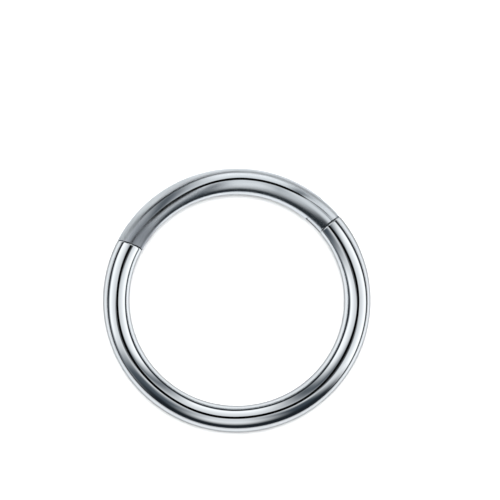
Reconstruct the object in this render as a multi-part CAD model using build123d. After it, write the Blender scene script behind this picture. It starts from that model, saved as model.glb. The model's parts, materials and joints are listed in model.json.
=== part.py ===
from build123d import *
import os
from math import cos, degrees, radians, sin

# The ring lies flat: its opening faces +Z, its lowest line rests on z = 0 and the middle of
# the gate points to +Y. Lengths are in millimetres and angles in degrees.

# The wire and the ring
wire_d = 1.2  # 16 gauge round wire
inside_d = 9.8  # clear diameter inside the closed ring
gate_arc = 114.0  # arc of the ring that swings open, between the middles of the two seams
clasp_skew = 6.0  # lean of the clasp's seam, so that the gate's end draws away from the body
hinge_gap = 0.04  # running gap between the gate and the body at the hinge's seam
clasp_gap = 0.02  # and at the clasp's seam
body_edge_r = 0.05  # rounding of the body's two cut ends
gate_edge_r = 0.02  # rounding of the gate's two cut ends

# The hinge: a flat tongue on the body between two ears on the gate, on one riveted pin
pin_d = 0.36
pin_clearance = 0.02  # radial, in the tongue, which turns on the pin
ear_reach = 0.85  # from the pin's centre to the square ends of the ears
pin_offset = 0.15  # pin's centre outside the wire's middle line, measured at the seam
tongue_t = 0.40
tongue_side_gap = 0.03  # between each face of the tongue and the ear beside it
tongue_inset = 0.03  # the tongue's sides stand this far inside the round of the wire
tongue_wall = 0.23  # metal left round the hole at the tongue's tip
tongue_root = 0.30  # how deep the tongue runs into the body to be one piece with it
tip_gap = 0.04  # between the tongue's tip and the floor of the slot
ear_relief = 0.02  # the ears' outer corners are turned to this much more than ear_reach

# The catch: a thin nose on the gate's free end that clicks into a pocket in the body
nose_t = 0.36
nose_width = 0.45  # across the wire
nose_outer = 0.12  # from the wire's middle line to the side of the nose that faces outwards
nose_length = 0.30  # past the gate's end
nose_root = 0.20  # how deep the nose runs into the gate to be one piece with it
nose_edge_r = 0.05  # rounding of the nose's tip, seen from above
nose_side_gap = 0.03  # above and below the nose
nose_end_gap = 0.05  # beside the nose and beyond its tip

# What follows from these sizes
wire_r = wire_d / 2
ring_r = (inside_d + wire_d) / 2  # radius of the wire's middle line
hinge_angle = 90 - gate_arc / 2
clasp_angle = 90 + gate_arc / 2
pin_r = pin_d / 2
pin_y = hinge_gap / 2 + ear_reach
tip_r = pin_r + pin_clearance + tongue_wall
tool_reach = 2 * wire_d  # how far a cutting block or pin stands clear of the wire


def seam_plane(angle, skew=0):
    """A seam's own axes: x points outwards, y along the wire anticlockwise, z up."""
    middle = Vector(cos(radians(angle)), sin(radians(angle)), 0) * ring_r
    outwards = (cos(radians(angle + skew)), sin(radians(angle + skew)), 0)
    return Plane(origin=middle + Vector(0, 0, wire_r), x_dir=outwards, z_dir=(0, 0, 1))


hinge_seam = seam_plane(hinge_angle)
clasp_seam = seam_plane(clasp_angle, clasp_skew)


def wire_arc(start, end, radius=wire_r):
    """A length of the bent wire, with square ends, from one ring angle to another."""
    arc = Torus(ring_r, radius, major_angle=end - start, align=None)
    return Pos(0, 0, wire_r) * Rot(0, 0, start) * arc


def cut_wire(start, end, start_waste, end_waste, edge_r):
    """A length of wire that is cut off at two seams and has the rims of its ends rounded."""
    spare = degrees(wire_d / ring_r)
    arc = wire_arc(start - spare, end + spare) - start_waste - end_waste
    ends = arc.faces().filter_by(GeomType.PLANE)
    return fillet(ends.edges(), edge_r)


def block(plane, low, high, thickness):
    """A flat block on a seam's axes, between two plan corners, half above the wire's middle."""
    size_x = high[0] - low[0]
    size_y = high[1] - low[1]
    middle = Pos((low[0] + high[0]) / 2, (low[1] + high[1]) / 2, 0)
    return plane * middle * Box(size_x, size_y, thickness)


def disc(radius, thickness):
    """A round plate about the hinge pin."""
    return hinge_seam * Pos(pin_offset, pin_y, 0) * Cylinder(radius, thickness)


def make_tongue():
    """The body's flat tongue, round about the pin at its tip."""
    low = (-wire_d, -hinge_gap / 2 - tongue_root)
    plate = block(hinge_seam, low, (wire_d, pin_y), tongue_t) + disc(tip_r, tongue_t)
    spread = degrees(2 * (tongue_root + pin_y + tip_r) / ring_r)
    envelope = wire_arc(hinge_angle - spread, hinge_angle + spread, wire_r - tongue_inset)
    return (plate & envelope) - disc(pin_r + pin_clearance, wire_d)


def make_slot():
    """The space between the gate's ears, with a floor that is round about the pin."""
    thickness = tongue_t + 2 * tongue_side_gap
    low = (-wire_d, -wire_d)
    return block(hinge_seam, low, (wire_d, pin_y + tip_gap), thickness) + disc(tip_r + tip_gap, thickness)


def make_ear_relief():
    """What is turned off the ears' outer corners so that they pass the body's shoulder."""
    corner = block(hinge_seam, (pin_offset, -wire_d), (wire_d, pin_y), tool_reach)
    return corner - disc(ear_reach + ear_relief, tool_reach)


def make_nose():
    """The nose of the catch, with the rounded corners at its tip."""
    inner = nose_outer - nose_width
    start = -clasp_gap / 2 - nose_root
    nose = block(clasp_seam, (inner, start), (nose_outer, nose_length - clasp_gap / 2), nose_t)
    tip = nose.faces().sort_by(Axis(clasp_seam.origin, clasp_seam.y_dir))[-1]
    corners = tip.edges().filter_by(Axis.Z)
    return fillet(corners, nose_edge_r)


def make_pocket():
    """The nose's pocket. Its outer wall leans the way the nose leaves as the gate swings."""
    pin = hinge_seam.origin + hinge_seam.x_dir * pin_offset + hinge_seam.y_dir * pin_y
    arm = clasp_seam.origin - pin
    leaving = Vector(arm.Y, -arm.X, 0)
    lean = leaving.dot(clasp_seam.x_dir) / -leaving.dot(clasp_seam.y_dir)
    inner = nose_outer - nose_width - nose_end_gap
    outer = nose_outer + nose_end_gap
    depth = nose_length - clasp_gap / 2 + nose_end_gap
    outline = Polyline((inner, 0), (inner, depth), (outer, depth), (outer + lean * depth, 0), close=True)
    half_t = nose_t / 2 + nose_side_gap
    return extrude(clasp_seam * make_face(outline), half_t, both=True)


def make_ring_body():
    """The fixed part of the ring, from the clasp the long way round to the hinge."""
    at_clasp = block(clasp_seam, (-wire_d, -tool_reach), (wire_d, clasp_gap / 2), tool_reach)
    at_hinge = block(hinge_seam, (-wire_d, -hinge_gap / 2), (wire_d, tool_reach), tool_reach)
    body = cut_wire(clasp_angle, hinge_angle + 360, at_clasp, at_hinge, body_edge_r)
    return body + make_tongue() - make_pocket()


def make_gate():
    """The part that swings, from the hinge to the clasp."""
    at_hinge = block(hinge_seam, (-wire_d, -tool_reach), (wire_d, hinge_gap / 2), tool_reach)
    at_clasp = block(clasp_seam, (-wire_d, -clasp_gap / 2), (wire_d, tool_reach), tool_reach)
    gate = cut_wire(hinge_angle, clasp_angle, at_hinge, at_clasp, gate_edge_r)
    gate = gate - make_slot() - make_ear_relief() - disc(pin_r, tool_reach)
    return gate + make_nose()


def make_hinge_pin():
    """The pin, its two ends dressed flush with the round of the wire."""
    spread = degrees(2 * (pin_y + pin_r) / ring_r)
    return disc(pin_r, tool_reach) & wire_arc(hinge_angle, hinge_angle + spread)


os.makedirs("parts", exist_ok=True)
export_step(make_ring_body(), "parts/ring_body.step")
export_step(make_gate(), "parts/gate.step")
export_step(make_hinge_pin(), "parts/hinge_pin.step")
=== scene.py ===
import json
from math import cos, pi, radians, sin
import bmesh
import bpy
from mathutils import Matrix, Vector


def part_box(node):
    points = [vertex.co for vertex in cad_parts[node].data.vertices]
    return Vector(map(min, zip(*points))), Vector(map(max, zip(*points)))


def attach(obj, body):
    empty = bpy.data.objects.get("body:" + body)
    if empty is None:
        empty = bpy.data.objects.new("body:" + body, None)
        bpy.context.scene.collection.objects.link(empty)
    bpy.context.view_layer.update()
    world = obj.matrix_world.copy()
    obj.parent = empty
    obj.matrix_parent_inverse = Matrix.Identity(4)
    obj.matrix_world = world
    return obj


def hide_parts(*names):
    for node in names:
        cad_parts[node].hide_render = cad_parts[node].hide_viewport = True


# A hinged septum ring in polished surgical steel, lying on its side.
# Pieces are modelled in millimetres and taken to metres when they are finished. Angles are in degrees.
mm = 0.001

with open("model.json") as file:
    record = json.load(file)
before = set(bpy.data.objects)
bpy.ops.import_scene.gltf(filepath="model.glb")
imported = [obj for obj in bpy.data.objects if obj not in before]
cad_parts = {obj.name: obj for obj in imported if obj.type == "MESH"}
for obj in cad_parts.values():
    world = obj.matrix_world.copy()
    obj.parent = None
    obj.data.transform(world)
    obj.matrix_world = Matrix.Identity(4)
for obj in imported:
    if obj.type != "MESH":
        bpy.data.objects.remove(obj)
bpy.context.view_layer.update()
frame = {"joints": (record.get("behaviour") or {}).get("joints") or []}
print("frame loaded")

# Sizes that the frame already holds
bodyLow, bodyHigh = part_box("ring_body")
wireRadius = round((bodyHigh.z - bodyLow.z) / 2 / mm, 2)
ringRadius = round(-bodyLow.y / mm, 2) - wireRadius
pinCentre = Vector(frame["joints"][0]["pos_m"]) / mm
print("wire radius", wireRadius, "ring radius", ringRadius)

# Where the wire is cut: shared by the body and the gate
cuts = {
    "gateArc": 114.0,  # between the middles of the two seams
    "claspLean": 6.0,  # lean of the clasp's seam
    "hingeGap": 0.04,  # running gap at the hinge's seam
    "claspGap": 0.02,  # and at the clasp's seam
    "farReach": 2 * wireRadius,  # how far a cutting tool stands past the wire
}


def deselectAll():
    if bpy.context.object and bpy.context.object.mode != "OBJECT":
        bpy.ops.object.mode_set(mode="OBJECT")
    bpy.ops.object.select_all(action="DESELECT")


def makeActive(piece):
    deselectAll()
    piece.select_set(True)
    bpy.context.view_layer.objects.active = piece


def seamAxes(angle, gap, lean=0.0):
    # outwards runs across the wire, along follows it anticlockwise
    turn = radians(angle + lean)
    middle = Vector((cos(radians(angle)) * ringRadius, sin(radians(angle)) * ringRadius, wireRadius))
    return {
        "angle": angle,
        "gap": gap,
        "turn": turn,
        "middle": middle,
        "outwards": Vector((cos(turn), sin(turn), 0)),
        "along": Vector((-sin(turn), cos(turn), 0)),
    }


hingeSeam = seamAxes(90 - cuts["gateArc"] / 2, cuts["hingeGap"])
claspSeam = seamAxes(90 + cuts["gateArc"] / 2, cuts["claspGap"], cuts["claspLean"])
pinAlong = (pinCentre - hingeSeam["middle"]).dot(hingeSeam["along"])


def onSeam(seam, across, along):
    return seam["middle"] + seam["outwards"] * across + seam["along"] * along


def selectWhere(kind, wanted):
    # selects the open mesh's vertices, edges or faces by their place
    bpy.ops.mesh.select_mode(type=kind)
    bpy.ops.mesh.select_all(action="DESELECT")
    mesh = bmesh.from_edit_mesh(bpy.context.edit_object.data)
    items = {"VERT": mesh.verts, "EDGE": mesh.edges, "FACE": mesh.faces}[kind]
    for item in items:
        places = [item.co] if kind == "VERT" else [v.co for v in item.verts]
        if all(wanted(place) for place in places):
            item.select_set(True)
    bmesh.update_edit_mesh(bpy.context.edit_object.data)


def combine(piece, tool, operation):
    makeActive(piece)
    joiner = piece.modifiers.new("combine", "BOOLEAN")
    joiner.operation = operation
    joiner.solver = "EXACT"
    joiner.object = tool
    bpy.ops.object.modifier_apply(modifier=joiner.name)
    bpy.data.objects.remove(tool)


def addBlock(seam, low, high, thickness):
    deselectAll()
    middle = onSeam(seam, (low[0] + high[0]) / 2, (low[1] + high[1]) / 2)
    size = (high[0] - low[0], high[1] - low[1], thickness)
    bpy.ops.mesh.primitive_cube_add(size=1, location=middle, rotation=(0, 0, seam["turn"]), scale=size)
    bpy.ops.object.transform_apply(location=True, rotation=True, scale=True)
    return bpy.context.object


def addDisc(radius, thickness, sides=96):
    deselectAll()
    place = (pinCentre.x, pinCentre.y, wireRadius)
    bpy.ops.mesh.primitive_cylinder_add(vertices=sides, radius=radius, depth=thickness, location=place)
    bpy.ops.object.transform_apply(location=True, rotation=True, scale=True)
    return bpy.context.object


# How finely the bent wire is divided
wireMesh = {
    "sidesRound": 128,
    "degreesPerStep": 1.0,
    "clearOfEnd": 2.4,  # no ring of points nearer than this to an end, to leave room for its rounding
    "pastEnd": 0.8,
}

# How its ends are cut and rounded
endCut = {
    "reach": 2.2 * wireRadius,  # only what lies nearer than this to the seam's middle is cut
    "supportShare": 1.3,  # in edge radii: how far behind the cut a ring of points holds the wire's shape
    "segments": 5,
}

# How near things count as being in the same place
near = {
    "corner": 0.001,
    "cutPlane": 0.0005,
    "doubles": 0.0002,
    "degenerate": 0.0001,
    "bisect": 0.00001,
}
sharpAngle = 34.0  # edges that turn more than this stay sharp


def bendWire(name, start, end, radius=wireRadius):
    # a circle of points, spun along the ring; both ends are left open a little past start and end
    deselectAll()
    first = radians(start - wireMesh["pastEnd"])
    place = (cos(first) * ringRadius, sin(first) * ringRadius, wireRadius)
    bpy.ops.mesh.primitive_circle_add(
        vertices=wireMesh["sidesRound"], radius=radius, location=place, rotation=(pi / 2, 0, first)
    )
    wire = bpy.context.object
    wire.name = name
    bpy.ops.object.transform_apply(location=True, rotation=True, scale=True)
    bpy.ops.object.mode_set(mode="EDIT")
    bpy.ops.mesh.select_all(action="SELECT")
    endStep = wireMesh["pastEnd"] + wireMesh["clearOfEnd"]
    middleArc = end - start - 2 * wireMesh["clearOfEnd"]
    middleSteps = round(middleArc / wireMesh["degreesPerStep"])
    for steps, arc in ((1, endStep), (middleSteps, middleArc), (1, endStep)):
        # spin turns clockwise about +Z, so its axis points down
        bpy.ops.mesh.spin(steps=steps, angle=radians(arc), center=(0, 0, 0), axis=(0, 0, -1))
    bpy.ops.object.mode_set(mode="OBJECT")
    return wire


def cutEnd(seam, side, edgeRadius):
    # cuts the open mesh off square at a seam, closes it and rounds its rim; side is +1 or -1 along the wire
    outwards = -side * seam["along"]
    support = edgeRadius * endCut["supportShare"]
    for depth, last in ((support, False), (0, True)):
        origin = onSeam(seam, 0, side * (seam["gap"] / 2 + depth))
        selectWhere("FACE", lambda p: (p - origin).length < endCut["reach"])
        bpy.ops.mesh.bisect(
            plane_co=origin, plane_no=outwards, use_fill=last, clear_outer=last, threshold=near["bisect"]
        )

    def onRim(p):
        return abs((p - origin).dot(outwards)) < near["cutPlane"] and (p - origin).length < endCut["reach"]

    selectWhere("EDGE", onRim)
    bpy.ops.mesh.bevel(
        offset=edgeRadius, segments=endCut["segments"], profile=0.5, affect="EDGES", clamp_overlap=False
    )


def closeEnds():
    bpy.ops.mesh.select_mode(type="EDGE")
    bpy.ops.mesh.select_all(action="DESELECT")
    bpy.ops.mesh.select_non_manifold(extend=False, use_wire=False, use_multi_face=False, use_verts=False)
    bpy.ops.mesh.fill_holes(sides=0)


def wireEnvelope(start, end, radius):
    # a closed length of wire to shape other pieces with
    wire = bendWire("envelope", start, end, radius)
    makeActive(wire)
    bpy.ops.object.mode_set(mode="EDIT")
    closeEnds()
    bpy.ops.mesh.select_all(action="SELECT")
    bpy.ops.mesh.normals_make_consistent(inside=False)
    bpy.ops.object.mode_set(mode="OBJECT")
    return wire


def finishPiece(piece, node, body, material):
    # merged, turned outwards, taken to metres, shaded and tied to the frame
    makeActive(piece)
    bpy.ops.object.mode_set(mode="EDIT")
    bpy.ops.mesh.select_all(action="SELECT")
    bpy.ops.mesh.remove_doubles(threshold=near["doubles"])
    bpy.ops.mesh.dissolve_degenerate(threshold=near["degenerate"])
    bpy.ops.mesh.normals_make_consistent(inside=False)
    bpy.ops.mesh.select_mode(type="EDGE")
    bpy.ops.mesh.select_all(action="DESELECT")
    bpy.ops.mesh.select_non_manifold(extend=False)
    openEdges = sum(e.select for e in bmesh.from_edit_mesh(piece.data).edges)
    bpy.ops.object.mode_set(mode="OBJECT")
    piece.scale = (mm, mm, mm)
    bpy.ops.object.transform_apply(location=True, rotation=True, scale=True)
    bpy.ops.object.shade_smooth_by_angle(angle=radians(sharpAngle))
    weighting = piece.modifiers.new("weighting", "WEIGHTED_NORMAL")
    weighting.keep_sharp = True
    bpy.ops.object.modifier_apply(modifier=weighting.name)
    piece.data.materials.clear()
    piece.data.materials.append(material)
    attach(piece, body)
    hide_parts(node)
    triangles = sum(len(p.vertices) - 2 for p in piece.data.polygons)
    print(piece.name, "triangles", triangles, "open edges", openEdges)


# Materials

def toLinear(hexColour):
    # an sRGB hex value as linear red, green, blue and alpha
    parts = [int(hexColour[i:i + 2], 16) / 255 for i in (0, 2, 4)]
    return [c / 12.92 if c <= 0.04045 else ((c + 0.055) / 1.055) ** 2.4 for c in parts] + [1.0]


def addNode(tree, kind, settings=None, **links):
    # settings set the node's own properties, or its sockets by name or number; links join outputs to sockets
    node = tree.nodes.new(kind)
    for name, value in (settings or {}).items():
        if isinstance(name, int) or name in node.inputs and not hasattr(node, name):
            node.inputs[name].default_value = value
        else:
            setattr(node, name, value)
    for name, output in links.items():
        socket = int(name[1:]) if name[0] == "_" else name.replace("_", " ")
        tree.links.new(output, node.inputs[socket])
    return node


def wirePlaces(tree, joinAngle):
    # where a point lies on the bent wire; joinAngle turns the jump from 180 to -180 degrees off the piece
    place = addNode(tree, "ShaderNodeTexCoord").outputs["Object"]
    turned = addNode(tree, "ShaderNodeMapping", {"Rotation": (0, 0, radians(joinAngle))}, Vector=place)
    xyz = addNode(tree, "ShaderNodeSeparateXYZ", Vector=turned.outputs[0])
    angle = addNode(tree, "ShaderNodeMath", {"operation": "ARCTAN2"},
                    _0=xyz.outputs["Y"], _1=xyz.outputs["X"])
    flat = addNode(tree, "ShaderNodeCombineXYZ", X=xyz.outputs["X"], Y=xyz.outputs["Y"])
    fromAxis = addNode(tree, "ShaderNodeVectorMath", {"operation": "LENGTH"}, _0=flat.outputs[0])
    outwards = addNode(tree, "ShaderNodeMath", {"operation": "SUBTRACT", 1: ringRadius * mm},
                       _0=fromAxis.outputs["Value"])
    up = addNode(tree, "ShaderNodeMath", {"operation": "SUBTRACT", 1: wireRadius * mm}, _0=xyz.outputs["Z"])
    height = addNode(tree, "ShaderNodeMath", {"operation": "ABSOLUTE"}, _0=up.outputs[0])
    return {
        "place": place,
        "angle": angle.outputs[0],
        "fromAxis": fromAxis.outputs["Value"],
        "outwards": outwards.outputs[0],  # from the wire's middle line
        "z": xyz.outputs["Z"],
        "height": height.outputs[0],  # above or below the wire's middle
    }


def buffingLines(tree, wire, finish):
    along = addNode(tree, "ShaderNodeMath", {"operation": "MULTIPLY", 1: ringRadius * mm / finish["stretch"]},
                    _0=wire["angle"])
    place = addNode(tree, "ShaderNodeCombineXYZ", X=wire["fromAxis"], Y=along.outputs[0], Z=wire["z"])
    lines = addNode(tree, "ShaderNodeTexNoise", {"Scale": 1 / (finish["lineSpacing"] * mm), "Detail": 3.0},
                    Vector=place.outputs[0])
    return lines.outputs[0]


def polishRoughness(tree, wire, finish):
    # the crown's polish, softer towards both flanks
    flank = addNode(tree, "ShaderNodeMapRange",
                    {"From Min": -wireRadius * mm, "From Max": wireRadius * mm,
                     "To Min": finish["roughInner"], "To Max": finish["roughOuter"]},
                    Value=wire["outwards"])
    polish = addNode(tree, "ShaderNodeMapRange",
                     {"From Min": wireRadius * mm, "From Max": finish["flankHeight"] * wireRadius * mm,
                      "To Min": finish["roughCrown"]},
                     Value=wire["height"], To_Max=flank.outputs[0])
    return polish.outputs[0]


def unevenness(tree, wire, finish, lines):
    # what the lines and a slow haze multiply the roughness by
    haze = addNode(tree, "ShaderNodeTexNoise", {"Scale": 1 / (finish["hazeSize"] * mm), "Detail": 2.0},
                   Vector=wire["place"])
    both = addNode(tree, "ShaderNodeMath", {"operation": "MULTIPLY"}, _0=lines, _1=haze.outputs[0])
    low, high = finish["noiseSpan"]
    uneven = addNode(tree, "ShaderNodeMapRange",
                     {"From Min": low, "From Max": high,
                      "To Min": 1 - finish["uneven"], "To Max": 1 + finish["uneven"]},
                     Value=both.outputs[0])
    return uneven.outputs[0]


def wanderingLean(tree, wire, finish):
    # a height that tips the section: a steady lean and slow waves of it round the ring
    lean = None
    for waves, phase, slope in finish["wander"]:
        turns = addNode(tree, "ShaderNodeMath", {"operation": "MULTIPLY_ADD", 1: waves, 2: radians(phase)},
                        _0=wire["angle"])
        wave = addNode(tree, "ShaderNodeMath", {"operation": "SINE"}, _0=turns.outputs[0])
        total = addNode(tree, "ShaderNodeMath",
                        {"operation": "MULTIPLY_ADD", 1: slope, 2: finish["steadyLean"]},
                        _0=wave.outputs[0])
        if lean:
            tree.links.new(lean, total.inputs[2])
        lean = total.outputs[0]
    leaning = addNode(tree, "ShaderNodeMath", {"operation": "MULTIPLY"}, _0=wire["outwards"], _1=lean)
    return leaning.outputs[0]


def addParabola(tree, value, start, factor, surface):
    # adds to a surface's height a parabola that begins below -start and is flat above it
    past = addNode(tree, "ShaderNodeMath", {"operation": "ADD", 1: start}, _0=value)
    below = addNode(tree, "ShaderNodeMath", {"operation": "MINIMUM", 1: 0.0}, _0=past.outputs[0])
    squared = addNode(tree, "ShaderNodeMath", {"operation": "MULTIPLY"},
                      _0=below.outputs[0], _1=below.outputs[0])
    total = addNode(tree, "ShaderNodeMath", {"operation": "MULTIPLY_ADD", 1: factor},
                    _0=squared.outputs[0], _2=surface)
    return total.outputs[0]


def steelMaterial(name, finish):
    # 316L steel: a cool grey mirror, with faint lines that buffing leaves along the wire. They are drawn
    # coarser than real ones, so that they show at all. The crown of the wire meets the wheel squarely and
    # gets the highest polish, the flanks a softer one. Polishing by hand also leaves the wire's section
    # leaning a little one way and the other, so its reflections wander. The darkening of steel near grazing
    # view is drawn stronger than it is, to show the outline against white.
    material = bpy.data.materials.new(name)
    material.use_nodes = True
    tree = material.node_tree
    tree.nodes.clear()
    wire = wirePlaces(tree, finish["joinAngle"])
    lines = buffingLines(tree, wire, finish)
    rough = polishRoughness(tree, wire, finish)
    surface = wanderingLean(tree, wire, finish)
    steel = addNode(tree, "ShaderNodeBsdfPrincipled",
                    {"Metallic": 1.0, "Specular Tint": toLinear(finish["grazing"]),
                     "Base Color": toLinear(finish["colour"])})
    if "dulledEndPaintedShade" in finish:
        # the free end is rougher and duller; on its inner half the base colour is painted greyer, a painted
        # shade that stands in for a darker reflection there
        zone = finish["dulledEndPaintedShade"]
        dulledEndPaintedShade = addNode(tree, "ShaderNodeMapRange",
                       {"interpolation_type": "SMOOTHSTEP",
                        "From Min": radians(zone["from"]), "From Max": radians(zone["to"])},
                       Value=wire["angle"])
        rough = addNode(tree, "ShaderNodeMath", {"operation": "MULTIPLY_ADD", 1: zone["rough"]},
                        _0=dulledEndPaintedShade.outputs[0], _2=rough).outputs[0]
        # painted shade: the mask that lays the darker grey over the inner half of the free end
        paintedShadeMask = addNode(tree, "ShaderNodeMapRange",
                          {"From Min": zone["paintedShadeFrom"] * wireRadius * mm,
                           "From Max": zone["paintedShadeTo"] * wireRadius * mm},
                          Value=wire["outwards"], To_Max=dulledEndPaintedShade.outputs[0])
        colour = addNode(tree, "ShaderNodeMix",
                         {"data_type": "RGBA", 6: toLinear(finish["colour"]), 7: toLinear(zone["colour"])},
                         _0=paintedShadeMask.outputs[0])
        tree.links.new(colour.outputs[2], steel.inputs["Base Color"])
    if "innerFlat" in finish:
        # polishing has flattened the side towards the ring's middle
        surface = addParabola(tree, wire["outwards"], finish["flatFrom"] * wireRadius * mm,
                              finish["innerFlat"] / (2 * wireRadius * mm), surface)
    if "hingeRounding" in finish:
        # and rounded the hinge end over lengthwise
        surface = addParabola(tree, wire["angle"], radians(finish["roundFrom"]),
                              -finish["hingeRounding"] * ringRadius * mm / 2, surface)
    uneven = unevenness(tree, wire, finish, lines)
    rough = addNode(tree, "ShaderNodeMath", {"operation": "MULTIPLY"}, _0=rough, _1=uneven)
    shaped = addNode(tree, "ShaderNodeBump", {"Strength": 1.0, "Distance": 1.0}, Height=surface)
    bump = addNode(tree, "ShaderNodeBump",
                   {"Strength": finish["lineStrength"], "Distance": finish["lineDepth"] * mm},
                   Height=lines, Normal=shaped.outputs[0])
    tree.links.new(rough.outputs[0], steel.inputs["Roughness"])
    tree.links.new(bump.outputs[0], steel.inputs["Normal"])
    addNode(tree, "ShaderNodeOutputMaterial", Surface=steel.outputs[0])
    return material


# The body: the fixed wire, its flat hinge tongue and the pocket for the catch
body = {
    "edgeRadius": 0.05,
    "tongueThickness": 0.40,
    "tongueInset": 0.03,
    "tongueRoot": 0.30,
    "tongueReach": 16.0,  # degrees of wire to either side of the seam that shape the tongue
    "tipRadius": 0.43,
    "boreRadius": 0.20,
    "bodyFinish": {
        "colour": "C5C9CC",
        "joinAngle": 90.0,
        "steadyLean": -0.13,
        # waves round the ring, phase in degrees, slope across the wire
        "wander": [(1, 87.0, 0.292), (2, -72.0, 0.099), (7, -132.0, 0.027)],
        "stretch": 30.0,  # how much longer the buffing lines are than wide
        "lineSpacing": 0.05,
        "hazeSize": 2.5,
        "noiseSpan": (0.1, 0.5),  # values of the noise that stand for smooth and rough
        "uneven": 0.2,  # share by which the roughness goes up and down
        "flankHeight": 0.3,  # in wire radii from the middle, where the softer polish of the flank is reached
        "roughCrown": 0.03,
        "roughInner": 0.06,
        "roughOuter": 0.06,
        "grazing": "8C8C8C",
        "lineStrength": 0.1,
        "lineDepth": 0.002,
    },
}

# The catch: sizes of the gate's nose, and of the pocket that it clicks into
catch = {
    "noseThickness": 0.36,
    "noseWidth": 0.45,
    "noseOuter": 0.12,
    "noseLength": 0.30,
    "noseRoot": 0.20,
    "tipRounding": 0.05,
    "tipSegments": 6,
    "sideGap": 0.03,
    "endGap": 0.05,
}


def makeTongue():
    low = (-cuts["farReach"], -cuts["hingeGap"] / 2 - body["tongueRoot"])
    tongue = addBlock(hingeSeam, low, (cuts["farReach"], pinAlong), body["tongueThickness"])
    combine(tongue, addDisc(body["tipRadius"], body["tongueThickness"]), "UNION")
    start = hingeSeam["angle"] - body["tongueReach"]
    end = hingeSeam["angle"] + body["tongueReach"]
    envelope = wireEnvelope(start, end, wireRadius - body["tongueInset"])
    combine(tongue, envelope, "INTERSECT")
    combine(tongue, addDisc(body["boreRadius"], cuts["farReach"]), "DIFFERENCE")
    return tongue


def makePocket():
    # its outer wall leans the way the nose leaves as the gate swings
    inner = catch["noseOuter"] - catch["noseWidth"] - catch["endGap"]
    outer = catch["noseOuter"] + catch["endGap"]
    depth = catch["noseLength"] - cuts["claspGap"] / 2 + catch["endGap"]
    thickness = catch["noseThickness"] + 2 * catch["sideGap"]
    pocket = addBlock(claspSeam, (inner, 0), (outer, depth), thickness)
    arm = claspSeam["middle"] - pinCentre
    leaving = Vector((arm.y, -arm.x, 0))
    lean = leaving.dot(claspSeam["outwards"]) / -leaving.dot(claspSeam["along"])
    mouth = onSeam(claspSeam, outer, 0)
    bpy.ops.object.mode_set(mode="EDIT")
    selectWhere("VERT", lambda p: (p - mouth).xy.length < near["corner"])
    bpy.ops.transform.translate(value=claspSeam["outwards"] * lean * depth)
    bpy.ops.object.mode_set(mode="OBJECT")
    return pocket


def makeRingBody():
    wire = bendWire("ring_body_polished", claspSeam["angle"], hingeSeam["angle"] + 360)
    makeActive(wire)
    bpy.ops.object.mode_set(mode="EDIT")
    cutEnd(claspSeam, 1, body["edgeRadius"])
    cutEnd(hingeSeam, -1, body["edgeRadius"])
    bpy.ops.mesh.select_all(action="SELECT")
    bpy.ops.mesh.normals_make_consistent(inside=False)
    bpy.ops.object.mode_set(mode="OBJECT")
    combine(wire, makeTongue(), "UNION")
    combine(wire, makePocket(), "DIFFERENCE")
    steel = steelMaterial("surgical steel, mirror buffed", body["bodyFinish"])
    finishPiece(wire, "ring_body", "ring", steel)


makeRingBody()
print("body made")

# The gate: the swinging wire, with two ears beside the tongue and the nose of the catch
gate = {
    "edgeRadius": 0.02,
    "earReach": 0.85,
    "earRelief": 0.02,
    "earSides": 192,  # of the disc that stands for the turned corner
    "slotSideGap": 0.03,
    "slotTipGap": 0.04,
    "gateFinish": {
        "colour": "C2C7CB",
        "joinAngle": -90.0,
        "steadyLean": 0.0,
        "wander": [(2, -152.0, 0.26), (5, 100.0, 0.085)],
        "stretch": 30.0,
        "lineSpacing": 0.05,
        "hazeSize": 2.0,
        "noiseSpan": (0.1, 0.5),
        "uneven": 0.2,
        "flankHeight": 0.85,
        "roughCrown": 0.06,
        "roughInner": 0.18,
        "roughOuter": 0.44,
        "dulledEndPaintedShade": {
            # painted shade: the grey laid over the free end's inner half, for a darker reflection
            "colour": "94999F",
            "rough": 0.2,
            "from": 34.0,  # degrees from the gate's middle towards its free end
            "to": 50.0,
            "paintedShadeFrom": 0.6,  # in wire radii outwards from the wire's middle: no painted shade beyond this
            "paintedShadeTo": 0.25,  # and all of it from here inwards
        },
        "roundFrom": 27.0,  # degrees from the gate's middle towards its hinge
        "hingeRounding": 0.38,  # slope gained for each radian
        "flatFrom": 0.28,  # in wire radii inwards from the wire's middle
        "innerFlat": 0.68,  # slope gained for each wire radius
        "grazing": "DDDDDD",
        "lineStrength": 0.15,
        "lineDepth": 0.002,
    },
}

# The pin that the gate turns on
pin = {
    "radius": 0.18,
}


def makeSlot():
    thickness = body["tongueThickness"] + 2 * gate["slotSideGap"]
    low = (-cuts["farReach"], -cuts["farReach"])
    slot = addBlock(hingeSeam, low, (cuts["farReach"], pinAlong + gate["slotTipGap"]), thickness)
    combine(slot, addDisc(body["tipRadius"] + gate["slotTipGap"], thickness), "UNION")
    return slot


def makeEarRelief():
    # what is turned off the ears' outer corners so that they pass the body's shoulder
    pinAcross = (pinCentre - hingeSeam["middle"]).dot(hingeSeam["outwards"])
    low = (pinAcross, -cuts["farReach"])
    corner = addBlock(hingeSeam, low, (cuts["farReach"], pinAlong), 2 * cuts["farReach"])
    turned = addDisc(gate["earReach"] + gate["earRelief"], 3 * cuts["farReach"], gate["earSides"])
    combine(corner, turned, "DIFFERENCE")
    return corner


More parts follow.
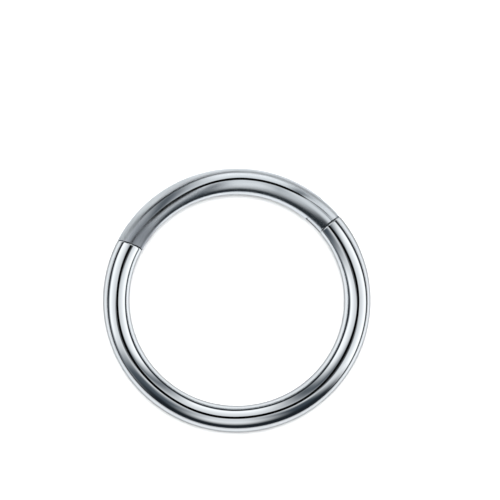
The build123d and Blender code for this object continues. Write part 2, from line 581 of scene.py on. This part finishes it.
def makeNose():
    inner = catch["noseOuter"] - catch["noseWidth"]
    start = -cuts["claspGap"] / 2 - catch["noseRoot"]
    tip = catch["noseLength"] - cuts["claspGap"] / 2
    nose = addBlock(claspSeam, (inner, start), (catch["noseOuter"], tip), catch["noseThickness"])
    bpy.ops.object.mode_set(mode="EDIT")
    for across in (inner, catch["noseOuter"]):
        corner = onSeam(claspSeam, across, tip)
        selectWhere("EDGE", lambda p: (p - corner).xy.length < near["corner"])
        bpy.ops.mesh.bevel(
            offset=catch["tipRounding"], segments=catch["tipSegments"], profile=0.5, affect="EDGES"
        )
    bpy.ops.object.mode_set(mode="OBJECT")
    return nose


def makeGate():
    wire = bendWire("gate_polished", hingeSeam["angle"], claspSeam["angle"])
    makeActive(wire)
    bpy.ops.object.mode_set(mode="EDIT")
    cutEnd(hingeSeam, 1, gate["edgeRadius"])
    cutEnd(claspSeam, -1, gate["edgeRadius"])
    bpy.ops.mesh.select_all(action="SELECT")
    bpy.ops.mesh.normals_make_consistent(inside=False)
    bpy.ops.object.mode_set(mode="OBJECT")
    combine(wire, makeSlot(), "DIFFERENCE")
    combine(wire, makeEarRelief(), "DIFFERENCE")
    combine(wire, addDisc(pin["radius"], 2 * cuts["farReach"]), "DIFFERENCE")
    combine(wire, makeNose(), "UNION")
    steel = steelMaterial("surgical steel, soft buffed", gate["gateFinish"])
    finishPiece(wire, "gate", "swing_gate", steel)
    return steel


gateSteel = makeGate()
print("gate made")


def makeHingePin():
    rod = addDisc(pin["radius"], 2 * cuts["farReach"])
    rod.name = "hinge_pin_dressed"
    reach = 20.0  # degrees of wire that dress the pin's ends
    envelope = wireEnvelope(hingeSeam["angle"], hingeSeam["angle"] + reach, wireRadius)
    combine(rod, envelope, "INTERSECT")
    finishPiece(rod, "hinge_pin", "swing_gate", gateSteel)


makeHingePin()
print("pin made")

# Floor: a glossy sheet of opal acrylic
floorSheet = {
    "halfSize": 400.0,
    "colour": "F4F4F4",
    "roughness": 0.12,
}


def makeFloor():
    deselectAll()
    bpy.ops.mesh.primitive_grid_add(x_subdivisions=4, y_subdivisions=4, size=2 * floorSheet["halfSize"] * mm)
    floor = bpy.context.object
    floor.name = "floor"
    material = bpy.data.materials.new("opal acrylic, cast")
    material.use_nodes = True
    tree = material.node_tree
    tree.nodes.clear()
    acrylic = addNode(tree, "ShaderNodeBsdfPrincipled", {
        "Base Color": toLinear(floorSheet["colour"]),
        "Roughness": floorSheet["roughness"],
    })
    addNode(tree, "ShaderNodeOutputMaterial", Surface=acrylic.outputs[0])
    floor.data.materials.append(material)


makeFloor()

# Studio: a bright tent round the ring, with what shows dark in it. Every edge is soft.
tent = {
    "brightness": 1.85,
    "white": "FFFFFF",
    "roof": ("roof away from the lamps", 84.0, 86.0, 0.0, 46.0, 56.0, "B3B5B7", 0.7),
    "rings": [
        # as the roof: azimuth, elevation, radius to the band's middle, half width, soft, colour, strength
        ("skirting", 261.0, 84.0, 86.0, 9.0, 7.0, "24272B", 1.0),
        ("camera's port", 84.0, 80.2, 0.0, 10.5, 3.0, "020303", 1.0),
        ("port's left flap", 154.0, 75.0, 0.0, 4.5, 5.0, "24272B", 0.9),
        ("port's right flap", 4.0, 77.0, 0.0, 5.0, 5.0, "24272B", 0.9),
    ],
    "cards": [
        # azimuth, elevation, half width, half height, soft sides, soft top, colour, strength
        ("left wall", 174.0, 16.0, 26.0, 6.0, 18.0, 8.0, "545B62", 0.8),
        ("open front, left", 211.0, 41.0, 24.0, 36.0, 32.0, 38.0, "4A5158", 1.0),
        ("open front, right", 302.0, 39.0, 20.0, 42.0, 30.0, 32.0, "3A4148", 1.0),
        ("table", 266.0, 5.0, 58.0, 39.0, 26.0, 36.0, "1B2025", 1.0),
        ("far left stand", 113.0, 44.0, 12.0, 32.0, 24.0, 26.0, "3F464D", 0.95),
        ("far right stand", 51.0, 44.0, 8.0, 36.0, 18.0, 24.0, "4A5158", 0.9),
    ],
}

# The lamps over the tent's roof light the floor evenly. Their own reflection is kept off the steel.
lamps = {
    "strength": 3.4,
    "spread": 40.0,
}


def makeTent():
    world = bpy.data.worlds.new("light tent")
    bpy.context.scene.world = world
    world.use_nodes = True
    tree = world.node_tree
    tree.nodes.clear()
    toSky = addNode(tree, "ShaderNodeTexCoord").outputs["Generated"]
    xyz = addNode(tree, "ShaderNodeSeparateXYZ", Vector=toSky)
    azimuth = addNode(tree, "ShaderNodeMath", {"operation": "ARCTAN2"},
                      _0=xyz.outputs["Y"], _1=xyz.outputs["X"])
    elevation = addNode(tree, "ShaderNodeMath", {"operation": "ARCSINE"}, _0=xyz.outputs["Z"])

    def within(value, middle, half, soft):
        # 1 inside the card, falling smoothly to 0 across its soft margin
        away = addNode(tree, "ShaderNodeMath", {"operation": "SUBTRACT", 1: radians(middle)}, _0=value)
        shorter = addNode(tree, "ShaderNodeMath", {"operation": "WRAP", 1: -pi, 2: pi}, _0=away.outputs[0])
        far = addNode(tree, "ShaderNodeMath", {"operation": "ABSOLUTE"}, _0=shorter.outputs[0])
        edge = addNode(tree, "ShaderNodeMapRange", {
            "interpolation_type": "SMOOTHSTEP",
            "From Min": radians(half + soft / 2),
            "From Max": radians(half - soft / 2),
        }, Value=far.outputs[0])
        return edge.outputs[0]

    def cover(name, below, mask, hexColour, strength):
        # lays a colour over what is below it, which is plain white under the first
        share = addNode(tree, "ShaderNodeMath", {"operation": "MULTIPLY", 1: strength}, _0=mask)
        laid = addNode(tree, "ShaderNodeMix", {"data_type": "RGBA", "label": name, 7: toLinear(hexColour)},
                       _0=share.outputs[0])
        if below:
            tree.links.new(below, laid.inputs[6])
        else:
            laid.inputs[6].default_value = toLinear(tent["white"])
        return laid.outputs[2]

    def addRing(below, name, middleAz, middleEl, radius, half, soft, hexColour, strength):
        az, el = radians(middleAz), radians(middleEl)
        way = (cos(az) * cos(el), sin(az) * cos(el), sin(el))
        towards = addNode(tree, "ShaderNodeVectorMath", {"operation": "DOT_PRODUCT", 1: way}, _0=toSky)
        angle = addNode(tree, "ShaderNodeMath", {"operation": "ARCCOSINE"}, _0=towards.outputs["Value"])
        return cover(name, below, within(angle.outputs[0], radius, half, soft), hexColour, strength)

    def addCard(below, name, middleAz, middleEl, halfWide, halfTall, softSides, softTop, hexColour, strength):
        wide = within(azimuth.outputs[0], middleAz, halfWide, softSides)
        tall = within(elevation.outputs[0], middleEl, halfTall, softTop)
        both = addNode(tree, "ShaderNodeMath", {"operation": "MULTIPLY"}, _0=wide, _1=tall)
        return cover(name, below, both.outputs[0], hexColour, strength)

    colour = addRing(None, *tent["roof"])
    for card in tent["cards"]:
        colour = addCard(colour, *card)
    for ring in tent["rings"]:
        colour = addRing(colour, *ring)
    glow = addNode(tree, "ShaderNodeBackground", {"Strength": tent["brightness"]}, Color=colour)
    # the camera sees the tent as plain white
    plain = addNode(tree, "ShaderNodeBackground",
                    {"Strength": tent["brightness"], "Color": toLinear(tent["white"])})
    path = addNode(tree, "ShaderNodeLightPath")
    seen = addNode(tree, "ShaderNodeMixShader", _0=path.outputs["Is Camera Ray"], _1=glow.outputs[0],
                   _2=plain.outputs[0])
    addNode(tree, "ShaderNodeOutputWorld", Surface=seen.outputs[0])
    bpy.context.scene.view_settings.view_transform = "Standard"


def makeLamps():
    deselectAll()
    bpy.ops.object.light_add(type="SUN")
    bank = bpy.context.object
    bank.name = "lamp bank"
    bank.data.energy = lamps["strength"]
    bank.data.angle = radians(lamps["spread"])
    bank.visible_glossy = False


makeTent()
makeLamps()
print("studio made")

# Camera: the photograph's view, steeply from above, over the ring's centre and aimed a little past it
shot = {
    "azimuth": -5.95,
    "elevation": 80.2,
    "distance": 120.0,
    "pictureWidth": 22.82,  # real width that the picture spans at the ring
    "sensor": 36.0,
    "aimRight": 0.602,
    "aimUp": 2.245,
    "nearest": 10.0,
    "farthest": 10000.0,
}


def makeCamera():
    az, el = radians(shot["azimuth"]), radians(shot["elevation"])
    back = Vector((sin(az) * cos(el), -cos(az) * cos(el), sin(el)))
    right = Vector((cos(az), sin(az), 0))
    up = back.cross(right)
    centre = Vector((0, 0, wireRadius))
    spot = (centre + back * shot["distance"]) * mm
    target = (centre + right * shot["aimRight"] + up * shot["aimUp"]) * mm
    # the axes are built by hand, because the aim is nearly straight down
    behind = (spot - target).normalized()
    side = up.cross(behind).normalized()
    turn = Matrix((side, behind.cross(side), behind)).transposed()
    deselectAll()
    bpy.ops.object.camera_add(location=spot)
    camera = bpy.context.object
    camera.data.sensor_width = shot["sensor"]
    camera.data.lens = shot["sensor"] * shot["distance"] / shot["pictureWidth"]
    camera.data.clip_start = shot["nearest"] * mm
    camera.data.clip_end = shot["farthest"] * mm
    camera.rotation_mode = "QUATERNION"
    camera.rotation_quaternion = turn.to_quaternion()
    bpy.context.scene.camera = camera


makeCamera()
print("camera set")
